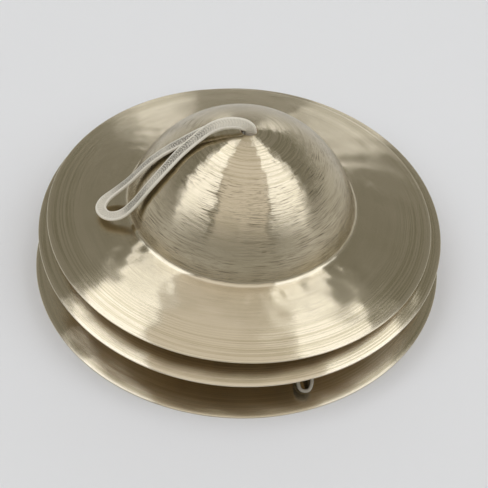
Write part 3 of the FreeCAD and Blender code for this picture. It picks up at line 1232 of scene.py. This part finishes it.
@dataclass(frozen=True)
class Studio:
    """Camera, soft lights and the pale paper sweep."""

    eye: Triple = (0.0, -0.4154, 0.4436)
    right: Triple = (0.9986, 0.0331, 0.0410)
    forward: Triple = (0.0072, 0.6849, -0.7286)
    focal_pixels: float = 800.0
    clip: tuple[float, float] = (0.01, 50.0)
    air: tuple[float, float, float, float] = (0.30, 0.297, 0.27, 1.0)
    backdrop: tuple[float, float, float, float] = (0.40, 0.395, 0.38, 1.0)
    floor_rings: Triple = (0.02, 0.3, 0.8)
    floor_reach: float = 1.7
    floor_bend: float = 0.5
    wall_top: float = 0.85
    bend_points: int = 16
    segments: int = 96

    def camera(self) -> None:
        """Camera at the photograph's angle; its lens follows from the focal length in pixels."""
        data = bpy.data.cameras.new("photo_view")
        data.sensor_width = SENSOR_WIDTH
        data.lens = self.focal_pixels / IMAGE_WIDTH * SENSOR_WIDTH
        data.clip_start, data.clip_end = self.clip
        eye = put("photo_view", data)
        right, forward = Vector(self.right).normalized(), Vector(self.forward).normalized()
        stand(eye, Vector(self.eye), (right, right.cross(forward), -forward))
        bpy.context.scene.camera = eye

    def tone(self) -> None:
        """Plain view transform, so that a colour renders as it is written."""
        bpy.context.scene.view_settings.view_transform = "Standard"

    def lights(self) -> None:
        """Two long strips, a dimmer panel between them, two small boxes behind, and even air.

        The camera itself sees the air in the backdrop's colour.
        """
        for box in LAMPS:
            box.hang()
        world = bpy.data.worlds.new("studio_air")
        world.use_nodes = True
        nodes, links = world.node_tree.nodes, world.node_tree.links
        seen = nodes.new("ShaderNodeLightPath").outputs["Is Camera Ray"]
        choice = nodes.new("ShaderNodeMix")
        choice.data_type = "RGBA"
        links.new(seen, choice.inputs["Factor"])
        choice.inputs["A"].default_value = self.air
        choice.inputs["B"].default_value = self.backdrop
        links.new(choice.outputs["Result"], nodes["Background"].inputs["Color"])
        bpy.context.scene.world = world

    def sweep(self) -> None:
        """Round paper sweep: a flat floor that curves up into a low wall.

        The profile is a straight run, a quarter circle and a straight rise,
        turned once round the middle.
        """
        turn = np.radians(np.linspace(0, 90, self.bend_points))
        reach, bend = self.floor_reach, self.floor_bend
        curve = np.stack([reach + bend * np.sin(turn), bend - bend * np.cos(turn)], -1)
        flat = [[radius, 0.0] for radius in self.floor_rings]
        profile = np.concatenate([flat, curve, [[reach + bend, self.wall_top]]])
        angle = round_the_axis(self.segments)
        points = turned(profile[:, :1], profile[:, 1:], angle)
        quads = grid_faces(len(profile), len(angle), False)
        mesh = bpy.data.meshes.new("paper_sweep")
        mesh.from_pydata(points.tolist(), [], quads[:, ::-1].tolist() + [list(range(len(angle)))])
        mesh.shade_smooth()
        mesh.materials.append(PaleFloor().material())
        put("paper_sweep", mesh)


TOP_ROUTE = (
    (1, 0.8, -3.9), (1, 0.7, -0.2), (-0.8, -0.1, 2.4), (-6, -0.6, 4.6), (-12.6, -1, 4.8),
    (-19.2, -1.6, 3.3), (-25.6, -3, 0.2), (-33, -4.1, -3.6), (-43.5, -5.4, -10.3), (-55, -7.3, -18),
    (-67, -8.6, -29.4), (-77.5, -9.4, -44), (-88, -11.5, -54), (-96, -17.5, -58),
    (-97.3, -26.5, -58.2), (-91, -33.6, -57.5), (-81.5, -33.6, -55.2), (-73, -31, -46.5),
    (-64, -29, -32.5), (-53.5, -23.8, -19.7), (-43.5, -15, -10.5), (-31.8, -7.5, -2.1),
    (-25.6, -5, 2.6), (-19.3, -3.6, 5.6), (-12.9, -3, 7), (-6, -2.6, 7), (-0.4, -2.4, 4.6),
    (1.7, -2.1, 0.8), (1.4, -2, -3.9),
)
TOP_AT_HOLE = (
    (0, -1, 0.05), (0, -1, 0.1), (0, -0.9, 0.4), (0, -0.7, 0.7), (-0.1, -0.65, 0.75),
    (-0.2, -0.6, 0.8), (-0.3, -0.55, 0.85),
)
TOP_FACES = (
    *TOP_AT_HOLE, (-0.4, -0.45, 0.9), (-0.55, -0.2, 1), (-0.75, -0.1, 1), (-1, -0.12, 0.9),
    (-1, -0.12, 0.6), (-0.7, -0.1, 1), (-0.15, -0.05, 1), (-0.05, -0.05, 1), (-0.1, -0.1, 1),
    (-0.5, -0.3, 1), (-0.9, -0.4, 0.7), (-0.9, -0.4, 0.8), (-0.75, -0.4, 1), (-0.55, -0.45, 1),
    (-0.4, -0.5, 0.9), *TOP_AT_HOLE[::-1],
)
MIDDLE_ROUTE = (
    (-1.5, -1.2, -3.9), (-1.5, -1.2, 4.4), (5, 4.2, 8.6), (15, 11.7, 7.1), (25.5, 18, 3),
    (36.5, 23.5, -2.8), (45.5, 30.5, -8.5), (49, 40, -12.5), (44, 49.5, -15), (34, 56.5, -15.2),
    (22.5, 61.2, -15.2), (10, 61.5, -13), (0.5, 55.5, -9.5), (0.5, 46.5, -6), (9, 42.5, -4.6),
    (20, 41.5, -5.4), (29, 36.5, -5.8), (31.5, 28.5, -4.2), (24.5, 20.5, -2), (15.5, 12.2, 1.3),
    (7.5, 6, 3.3), (1.5, 1.2, 2.2), (1.5, 1.2, -3.9),
)
MIDDLE_FACES = (
    (-0.8, -0.6, 0.05), (-0.8, -0.6, 0.3), (-0.2, -0.2, 1), (0.2, 0.1, 1), (0.3, 0.2, 1),
    (0.4, 0.3, 1), (0.5, 0.4, 1), (0.4, 0.5, 1), (0.3, 0.6, 1), (0.2, 0.7, 1), (0.1, 0.7, 1),
    (0, 0.6, 1), (0, 0.5, 1), (0, 0.4, 1), (0.1, 0.3, 1), (0.2, 0.3, 1), (0.3, 0.3, 1),
    (0.3, 0.3, 1), (0.2, 0.2, 1), (0.2, 0.2, 1), (0.1, 0.1, 1), (-0.8, -0.6, 0.7),
    (-0.8, -0.6, 0.05),
)
LOWER_ROUTE = (
    (-0.7, 1.8, -3.9), (-0.7, 1.8, 7.6), (2.3, -6, 11.9), (7.6, -17, 9), (14.5, -29.5, 2.5),
    (21, -42.5, -6), (27, -55.5, -16.5), (31.8, -67, -29.5), (36, -78.5, -40.5), (39.8, -93, -44.2),
    (42.2, -106.5, -44.2), (42.8, -118, -44.8), (42.5, -126.5, -48), (44.4, -131.3, -51.1),
    (50.3, -131.3, -51.1), (52.1, -126.5, -48), (51.6, -118, -44.8), (50.2, -106.5, -44.2),
    (46.6, -93.5, -44.2), (42, -81, -41.5), (35, -67.5, -31.5), (30, -55, -18.5), (23.5, -42, -8),
    (16.5, -29.5, -1.6), (9.4, -18.2, 2.4), (3.6, -8, 5), (0.7, -1.8, 3), (0.7, -1.8, -3.9),
)
LOWER_FACES = (
    (-0.4, 1, 0.05), (-0.4, 1, 0.4), (0, -0.2, 1), (0.1, -0.3, 1), (0.2, -0.5, 1), (0.3, -0.6, 1),
    (0.3, -0.8, 0.8), (0.3, -0.9, 0.6), (0.2, -0.7, 0.9), (-0.3, -0.2, 1), (-0.9, 0, 0.9),
    (-1, 0, 0.4), (-1, 0, 0.05), (-0.7, -0.6, -0.4), (0.7, -0.6, -0.4), (1, 0, 0.05), (1, 0, 0.4),
    (0.9, 0, 0.9), (0.4, -0.2, 1), (0.3, -0.6, 0.9), (0.3, -0.9, 0.6), (0.3, -0.8, 0.8),
    (0.3, -0.6, 1), (0.2, -0.5, 1), (0.1, -0.4, 1), (0, -0.2, 1), (-0.4, 1, 0.7), (-0.4, 1, 0.05),
)


def place_of(tier: Tier) -> Place:
    """Place of a cymbal, as its strap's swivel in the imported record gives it."""
    joint = next(j for j in frame["joints"] if j["name"] == f"{tier.value}_strap_swivel")
    return Place(Vector(joint["pos_m"]), Vector(joint["axis"]).normalized())


def stack() -> list[HandCymbal]:
    """The three cymbals from the table up, each with the seed of its hammer marks."""
    lower = PlateForm(150.0 * MM, 58.0 * MM, 74.1 * MM, 7.5 * MM)
    middle = PlateForm(144.8 * MM, 53.3 * MM, 77.2 * MM, 7.0 * MM)
    top = PlateForm(136.9 * MM, 69.5 * MM, 80.3 * MM, 6.0 * MM)
    # the lower strap's loop tip lies in the shade between plates, so it gets painted shade
    lower_strap = HandStrap(LOWER_ROUTE, LOWER_FACES, length=0.335, tail_azimuth=35, painted_shade=0.9)
    middle_strap = HandStrap(MIDDLE_ROUTE, MIDDLE_FACES, length=0.225, tail_azimuth=100)
    top_strap = HandStrap(TOP_ROUTE, TOP_FACES, length=0.275, tail_azimuth=60)
    return [
        HandCymbal(Tier.LOWER, lower, lower_strap, place_of(Tier.LOWER), seed=11),
        HandCymbal(Tier.MIDDLE, middle, middle_strap, place_of(Tier.MIDDLE), seed=12),
        HandCymbal(Tier.TOP, top, top_strap, place_of(Tier.TOP), seed=13),
    ]


def main() -> None:
    """Build the studio and the three cymbals in order."""
    logging.basicConfig(level=logging.INFO, format="%(message)s")
    studio = Studio()
    studio.camera()
    studio.tone()
    looks = {Slot.BRONZE: TurnedBronze(), Slot.LEATHER: WornLeather(), Slot.STRAP: WovenStrap()}
    finishes = {slot: look.material() for slot, look in looks.items()}
    for cymbal in stack():
        cymbal.build(finishes)
    studio.sweep()
    studio.lights()


if __name__ == "__main__":
    main()
